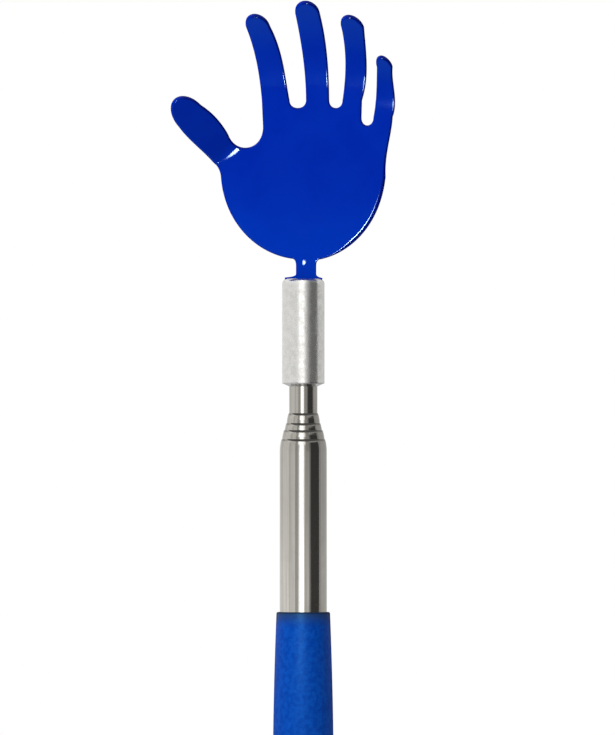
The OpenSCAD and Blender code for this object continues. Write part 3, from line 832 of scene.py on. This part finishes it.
# %% Points inside the outline
ROUND_AT, ROUND_R = [0.3, 1.8, 5, 7, 16, 24, 36, 42], [0.05, 0.25, 0.3, 0.57, 0.57, 0.48, 0.4, 0.4]
WIDER_AT, WIDER_BY = [5, 8, 20, 28], [1, 1.5, 1.5, 1]
SKIN_MARGIN = 0.25
COARSE_STEP, NECK_STEP, ROW_STEP = 0.7, 0.1, 0.866
NECK_AREA = np.array([[-2.2, 0.6], [3.4, 8.0]])
BEND_AREA, BEND_STEPS = np.array([[-5, -1.6], [6.5, 4.0]]), (0.13, 0.09)
CLEAR_OF_RIM, CLEAR_AT_NECK = 0.3, 0.12
INSIDE_ONLY, JOIN_WITHIN = 1, 1e-6

edge_r = np.interp(RIM[:, 1], ROUND_AT, ROUND_R)
edge_in = edge_r * np.interp(RIM[:, 1], WIDER_AT, WIDER_BY)
skin_loop = RIM + (edge_in + SKIN_MARGIN * edge_r)[:, None] * RIM_INWARD


def inside(points, loop):
    """Even-odd test, and the distance to the loop."""
    odd = np.zeros(len(points), bool)
    near = np.full(len(points), np.inf)
    for a, b in zip(loop, np.roll(loop, -1, 0)):
        crosses = (a[1] > points[:, 1]) != (b[1] > points[:, 1])
        if a[1] != b[1]:
            odd ^= crosses & (points[:, 0] < (b[0] - a[0]) * (points[:, 1] - a[1]) / (b[1] - a[1]) + a[0])
        near = np.minimum(near, np.hypot(points[:, 0] - a[0], points[:, 1] - a[1]))
    return odd, near


def within(points, area, margin):
    return ((points > area[0] - margin) & (points < area[1] + margin)).all(1)


def grid(low, high, step):
    xs, zs = np.arange(low[0], high[0], step), np.arange(low[1], high[1], step * ROW_STEP)
    return np.array([(x + (step / 2 if k % 2 else 0), z) for k, z in enumerate(zs) for x in xs])


coarse = grid(RIM.min(0), RIM.max(0), COARSE_STEP)
along_bend, ahead_of_bend = (np.arange(*ends, step) for ends, step in zip(BEND_AREA.T, BEND_STEPS))
at_bend = np.array([FOLD_AT + a * FOLD_ALONG + b * FOLD_AHEAD for a in along_bend for b in ahead_of_bend])
from_bend = (coarse - FOLD_AT) @ np.column_stack([FOLD_ALONG, FOLD_AHEAD])
spare = within(coarse, NECK_AREA, 0.2) | within(from_bend, BEND_AREA, (0.15, 0.2))
candidates = np.vstack([coarse[~spare], grid(*NECK_AREA, NECK_STEP), at_bend])
odd, near = inside(candidates, skin_loop)
clear = np.where(within(candidates, NECK_AREA, (0.2, 0.1)), CLEAR_AT_NECK, CLEAR_OF_RIM)
count = len(skin_loop)
loop_edges = [(k, (k + 1) % count) for k in range(count)]
flat_points = np.vstack([skin_loop, candidates[odd & (near > clear)]])
joined = delaunay_2d_cdt([tuple(p) for p in flat_points], loop_edges, [], INSIDE_ONLY, JOIN_WITHIN)
skin_points = np.array([tuple(p) for p in joined[0]])
skin_faces = [tuple(f) for f in joined[2]]
print("skin:", len(skin_points), "points,", len(skin_faces), "triangles; loop kept:",
      np.allclose(skin_points[:count], skin_loop, atol=1e-4))

# %% Front, back and rim
RIB_AT, RIB_WIDE, RIB_TALL = np.array([-0.27, 4.29]), (0.281, 0.47), (0.82, 0.554)
RIB_RISE, RIB_BLUNT, RIB_HOLLOW = 0.077, 1.317, 0.6
RIM_STEPS = 6
# How much painted shade the rim carries, by the way it faces and by row.
SHADE_FACING, SHADE_SHARE = [-0.5, 0.1], [0.18, 1.0]
SHADE_FROM_ROW, SHADE_ROWS = 0.5, 2.5


def rib_rise(flat):
    x, z = (flat - RIB_AT).T
    away = (x / np.where(x < 0, *RIB_WIDE)) ** 2 + (z / np.where(z < 0, *RIB_TALL)) ** 2
    return RIB_RISE * np.exp(-(away / 2) ** RIB_BLUNT)


rings = [(edge_in * (1 - math.sin(angle)), -SHEET / 2 + edge_r * (1 - math.cos(angle)))
         for angle in np.linspace(0, math.pi / 2, RIM_STEPS + 1)]
rings += [(inset, -depth) for inset, depth in reversed(rings)]
lift = rib_rise(skin_points)
front = press(skin_points, -SHEET / 2 - lift)
back = press(skin_points, SHEET / 2 - RIB_HOLLOW * lift)
rim_rows = [press(RIM + inset[:, None] * RIM_INWARD, depth) for inset, depth in rings]

hand_shape = bmesh.new()
rim_shade_mark = hand_shape.verts.layers.float.new("edge")
front_verts, back_verts, *rim_verts = [
    [hand_shape.verts.new(p) for p in row] for row in (front, back, *rim_rows)]
for face in skin_faces:
    hand_shape.faces.new([front_verts[k] for k in face])
    hand_shape.faces.new([back_verts[k] for k in reversed(face)])
loops = [front_verts[:count], *rim_verts, back_verts[:count]]
join_rows(hand_shape, loops, closed=True)
# Painted shade on the rim: strongest where the rim faces right, away from the key lamp, and fading to nothing
# where the rim meets the front and back faces.
rim_painted_shade = np.interp(-RIM_INWARD[:, 0], SHADE_FACING, SHADE_SHARE)
for row, loop in enumerate(loops):
    share = np.clip((min(row, len(loops) - 1 - row) - SHADE_FROM_ROW) / SHADE_ROWS, 0, 1)
    for vert, shaded in zip(loop, rim_painted_shade):
        vert[rim_shade_mark] = float(share * shaded)
hand = make_piece("enamelled_hand", hand_shape, ENAMEL)
finish_mesh(hand.data)
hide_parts("hand")
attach(hand, "head")
print("hand faces:", len(hand.data.polygons))

# %% [markdown]
# ## The pieces inside
# The split collars and the plug are already the right shape in the CAD frame and are hidden unless the
# tool is taken apart. They keep their meshes and only get a finish.

# %% Collars and plug
INSIDE = dict.fromkeys(("second_collar", "third_collar", "fourth_collar", "tip_collar"), BRONZE)
INSIDE["end_plug"] = NYLON
for node, finish in INSIDE.items():
    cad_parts[node].data.materials.clear()
    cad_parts[node].data.materials.append(finish)
print("finished inside pieces:", len(INSIDE))

# %% [markdown]
# ## The studio
# Polished metal looks like whatever stands round it, so the room matters as much as the finish. The floor
# is a plain pale disc that takes the tool's shadow. Far out it turns into a plain glow, so that it meets
# the white world without an edge.

# %% Floor
FLOOR_R, FLOOR_TONE = 1.6, 0.86
FADE_FROM, FADE_TO = 0.35, 1.2


def from_middle(place):
    """How far a point lies from its own object's origin."""
    return after("ShaderNodeVectorMath", {0: place}, operation="LENGTH").outputs["Value"]


def disc(radius, segments):
    shape = bmesh.new()
    bmesh.ops.create_circle(shape, cap_ends=True, segments=segments, radius=radius)
    return shape


floor_material, shader, where = new_finish(
    "pale_floor", Base_Color=(FLOOR_TONE, FLOOR_TONE, FLOOR_TONE, 1), Roughness=0.8)
floor_tree = floor_material.node_tree
floor_mix = after("ShaderNodeMixShader", {
    0: remap(from_middle(where), FADE_FROM, FADE_TO),
    1: shader.outputs[0], 2: add_node(floor_tree, "ShaderNodeEmission").outputs[0]})
feed(floor_tree.nodes["Material Output"].inputs["Surface"], floor_mix.outputs[0])
floor = make_piece("floor", disc(FLOOR_R, 96), floor_material)
print("floor radius in m:", FLOOR_R)

# %% [markdown]
# ### Panels for the metal
# A ring of upright panels is what the tubes reflect: a bright strip a little to the left of the camera, a
# black flag to the right, greys elsewhere. The same bands run on over the floor, so the tubes stay striped
# when they are seen from above. Panels show only in reflections, and light linking lets each one list the
# pieces that it shines on. A see-through glow is nothing at all to the other pieces.

# %% A panel
PANEL_R, PANEL_LOW, PANEL_HIGH = 1.4, 0.004, 0.95
FOOT_LOW, FOOT_HIGH = 0.082, 0.108
WARM_WHITE, WHITE = (1, 0.99, 0.97), (1, 1, 1)


def glow_finish(name, colour, strength, see_through):
    """Strength is a number, or a function that builds nodes for one that changes over the panel."""
    material = bpy.data.materials.new(name)
    material.use_nodes = True
    tree = material.node_tree
    tree.nodes.remove(tree.nodes["Principled BSDF"])
    strength = strength(tree) if callable(strength) else strength
    result = add_node(tree, "ShaderNodeEmission", {"Color": (*colour, 1), "Strength": strength}).outputs[0]
    if see_through:
        clear_through = add_node(tree, "ShaderNodeBsdfTransparent").outputs[0]
        result = add_node(tree, "ShaderNodeAddShader", {0: result, 1: clear_through}).outputs[0]
    feed(tree.nodes["Material Output"].inputs["Surface"], result)
    return material


def hang(name, shape, strength, shines_on, colour=WARM_WHITE, see_through=False):
    panel = make_piece(name, shape, glow_finish(name, colour, strength, see_through))
    panel.visible_camera = False
    panel.visible_diffuse = False
    panel.visible_shadow = False
    panel.light_linking.receiver_collection = shines_on
    return panel


def make_panel(name, start, end, brightness, shines_on,
               low=PANEL_LOW, high=PANEL_HIGH, foot=1.0, nearer=None):
    """Angles are seen from the tool, in degrees: 0 towards the camera, 90 to its right.

    The foot is brighter by its factor. A panel that stands nearer than the ring is see-through.
    """
    def brighter_foot(tree):
        height = split(own_place(tree))["Z"]
        return remap(height, FOOT_LOW, FOOT_HIGH, brightness * foot, brightness)

    shape = bmesh.new()
    radius = PANEL_R - (nearer or 0.0)
    angles = np.radians(np.linspace(start, end, max(2, int(abs(end - start) / 3) + 1)))
    rows = [[shape.verts.new((radius * math.sin(a), -radius * math.cos(a), z)) for a in angles]
            for z in (low, high)]
    join_rows(shape, rows, closed=False)
    strength = brightness if foot == 1.0 else brighter_foot
    return hang(name, shape, strength, shines_on, see_through=nearer is not None)


def flat_shape(corners, height):
    shape = bmesh.new()
    shape.faces.new([shape.verts.new((x, y, height)) for x, y in corners])
    return shape


def group_of(name, pieces):
    group = bpy.data.collections.new(name)
    for piece in pieces:
        group.objects.link(piece)
    return group


tube_pieces = group_of("tube_pieces", TUBES)
metal_pieces = group_of("metal_pieces", TUBES + [ferrule])
shiny_pieces = group_of("shiny_pieces", TUBES + [grip])
print("panels hang at:", PANEL_R, "m")

# %% The ring and the ceiling
RING_FOOT, CARD_FOOT = 1.3, 1.5
CARD_SPLIT = 0.12
NOSE_LOW, NOSE_HIGH, NOSE_NEARER = 0.5, 0.72, 0.005
STUDIO_RING = (
    ("left_wall_far", -150, -118, 0.8), ("left_wall", -118, -75, 0.95), ("left_post", -75, -62, 0.72),
    ("left_wall_near", -62, -41, 0.85), ("left_flag", -41, -27, 0.48), ("strip_edge", -27, -23, 0.65),
    ("strip_rise", -23, -17, 1.25), ("bright_strip", -17, 0.5, 3.0), ("strip_fall", 0.5, 3.5, 1.4),
    ("strip_glow", 3.5, 9, 0.95), ("flag_edge", 30, 37, 0.25), ("black_flag", 37, 84, 0.06),
    ("right_wall_near", 84, 97, 0.42), ("right_wall", 97, 130, 0.54), ("right_wall_far", 130, 150, 0.56))
for row in STUDIO_RING:
    make_panel(*row, shiny_pieces, foot=RING_FOOT)
make_panel("grey_card_edge", 9, 13, 0.46, tube_pieces, foot=RING_FOOT)
make_panel("grey_card_low", 13, 30, 0.55, tube_pieces, high=CARD_SPLIT, foot=CARD_FOOT)
make_panel("grey_card_high", 13, 30, 0.4, tube_pieces, low=CARD_SPLIT)
for *row, low in (("nose_flag", 33, 84, 0.42, NOSE_HIGH), ("nose_strip", -27, -17, 1.2, NOSE_LOW),
                  ("nose_glow", 3.5, 12, 0.8, NOSE_LOW), ("nose_wall", -150, -62, 0.3, NOSE_HIGH)):
    make_panel(*row, tube_pieces, low=low, nearer=NOSE_NEARER)
make_panel("back_wall_right", 150, 180, 0.6, metal_pieces)
make_panel("back_wall", 180, 210, 0.9, metal_pieces)
square = [(x * PANEL_R, y * PANEL_R) for x, y in ((-1, -1), (1, -1), (1, 1), (-1, 1))]
hang("ceiling", flat_shape(square, PANEL_HIGH), 0.22, None, WHITE)
print("ring panels:", len(STUDIO_RING))

# %% The same bands on the floor
FLOOR_SHARE, FLOOR_BRIGHTEST = 0.7, 1.1
WEDGE_HEIGHT, WEDGE_INNER_R = 0.002, 0.012
WEDGES = STUDIO_RING + (("grey_card", 9, 30, 0.5), ("back_wall", 150, 210, 0.8))
for name, start, end, brightness in WEDGES:
    angles = np.radians(np.linspace(start, end, 9))
    corners = [(r * math.sin(a), -r * math.cos(a))
               for r, turns in ((WEDGE_INNER_R, angles), (PANEL_R, angles[::-1])) for a in turns]
    strength = min(brightness * FLOOR_SHARE, FLOOR_BRIGHTEST)
    hang(name + "_foot", flat_shape(corners, WEDGE_HEIGHT), strength, metal_pieces, WHITE)
print("floor wedges:", len(WEDGES))

# %% [markdown]
# ### Panels for the ferrule, the grip and the hand
# The satin ferrule blurs what it sees, so it has a ring of its own with softer steps, and a canopy for its
# rolled edge. The rubber hardly reflects at all: one very bright strip gives it the soft sheen below its
# mouth. The enamel wants dark surroundings. It sees a blue card under the fingers, another under the thumb,
# and one small low lamp, which is the spark on the rib and on the thumb's bend.

# %% The ferrule's ring and canopy, and the grip's strip
SATIN_NEARER, SHEEN_NEARER = 0.01, 0.005
CANOPY_HIGH, CANOPY_REACH, CANOPY_DIMMER = PANEL_HIGH - 0.02, 130, 0.15
CANOPY_LIFTS = np.radians([13, 16, 20, 25, 32, 40, 50, 60])
SATIN_EDGES = (-150, -30, -22, 5, 11, 17, 24, 31, 38, 80, 85, 150)
SATIN_TONES = (0.91, 1.1, 1.55, 1.1, 0.8, 0.57, 0.4, 0.26, 0.17, 0.3, 0.72)
satin_pieces = group_of("satin_pieces", [ferrule])


def canopy_shape(start, end):
    """Hangs over the ferrule so that its rolled edge shows the same band as the wall below it."""
    shape = bmesh.new()
    top = FERRULE_TOP * MM
    rows = []
    for lift in CANOPY_LIFTS:
        rays = [np.array([math.sin(2 * half) * math.cos(lift) ** 2,
                          1 - 2 * (math.cos(half) * math.cos(lift)) ** 2,
                          math.cos(half) * math.sin(2 * lift)])
                for half in np.radians(np.linspace(start, end, 5) / 2)]
        rows.append([shape.verts.new(ray * (CANOPY_HIGH - top) / ray[2] + (0, 0, top)) for ray in rays])
    join_rows(shape, rows, closed=False)
    return shape


for k, tone in enumerate(SATIN_TONES):
    start, end = SATIN_EDGES[k:k + 2]
    make_panel(f"satin_{k}", start, end, tone, satin_pieces, nearer=SATIN_NEARER)
    over = canopy_shape(max(start, -CANOPY_REACH), min(end, CANOPY_REACH))
    hang(f"satin_{k}_over", over, tone - CANOPY_DIMMER, satin_pieces, see_through=True)
make_panel("sheen_strip", -17, -4, 100.0, group_of("rubber_pieces", [grip]), nearer=SHEEN_NEARER)
print("satin panels:", 2 * len(SATIN_TONES))

# %% Cards and a spark for the enamel
CARD_HEIGHT, CARD_BLUE, CARD_DIM = 0.003, (0.12, 0.46, 1), 0.08
HAND_CENTRE = (0.0, 0.0, 0.19)
SPARK_AT, SPARK_R, SPARK_BRIGHTNESS = np.array([0.0856, -0.4856, 0.1075]), 0.066, 80.0
enamel_pieces = group_of("enamel_pieces", [hand])


def aim_at(thing, place, target):
    aim = np.array(target) - np.array(place)
    aim /= np.linalg.norm(aim)
    thing.location = place
    thing.rotation_euler = (math.acos(-aim[2]), 0, math.atan2(aim[0], -aim[1]) + math.pi)


def finger_glow(tree):
    """Bright close to the tool, dim further out, and a little brighter again at the far end."""
    ahead = split(own_place(tree))["Y"]
    close = remap(ahead, -0.3, -0.06, CARD_DIM, 1.1)
    return plus(close, remap(ahead, -0.5, -0.85, 0.0, 0.3))


def spark_glow(tree):
    out = math_node("POWER", math_node("DIVIDE", from_middle(own_place(tree)), SPARK_R), 2.0)
    fade = math_node("POWER", math_node("SUBTRACT", 1.0, out, clamp=True), 2.0)
    return times(fade, SPARK_BRIGHTNESS)


for name, left, right, near, far, strength in (("thumb_card", 0.07, 0.5, 0.04, 0.5, CARD_DIM),
                                               ("finger_card", -0.3, 0.07, 0.02, 1.39, finger_glow)):
    corners = [(left, -far), (right, -far), (right, -near), (left, -near)]
    hang(name, flat_shape(corners, CARD_HEIGHT), strength, enamel_pieces, CARD_BLUE, see_through=True)
spark = hang("low_spark", disc(SPARK_R, 48), spark_glow, enamel_pieces, WHITE, see_through=True)
aim_at(spark, SPARK_AT, HAND_CENTRE)
print("spark at:", SPARK_AT)

# %% [markdown]
# ### Lamps and world
# The light on paint and rubber comes from a pale world and two large soft lamps. The camera and
# reflections see the world as plain white; everything else gets only a weak fill from it.

# %% Lamps and world
WORLD_FILL = 0.22


def make_lamp(name, place, size, power):
    data = bpy.data.lights.new(name, "AREA")
    data.shape = "DISK"
    data.size = size
    data.energy = power
    lamp = bpy.data.objects.new(name, data)
    aim_at(lamp, place, HAND_CENTRE)
    lamp.visible_camera = False
    lamp.visible_glossy = False
    SCENE.collection.objects.link(lamp)


make_lamp("soft_key", (-0.62, -0.78, 1.1), 0.6, 16.4)
make_lamp("soft_back", (0.0, 1.3, 0.8), 0.8, 14.0)

world = bpy.data.worlds.new("studio")
SCENE.world = world
world.use_nodes = True
world_tree = world.node_tree
background = world_tree.nodes["Background"]
ray = add_node(world_tree, "ShaderNodeLightPath").outputs
seen = plus(ray["Is Camera Ray"], ray["Is Glossy Ray"])
seen = math_node("ADD", seen, ray["Is Transmission Ray"], clamp=True)
feed(background.inputs["Strength"], remap(seen, 0.0, 1.0, WORLD_FILL, 1.0))
background.inputs["Color"].default_value = (1, 1, 1, 1)

SCENE.view_settings.view_transform = "Standard"
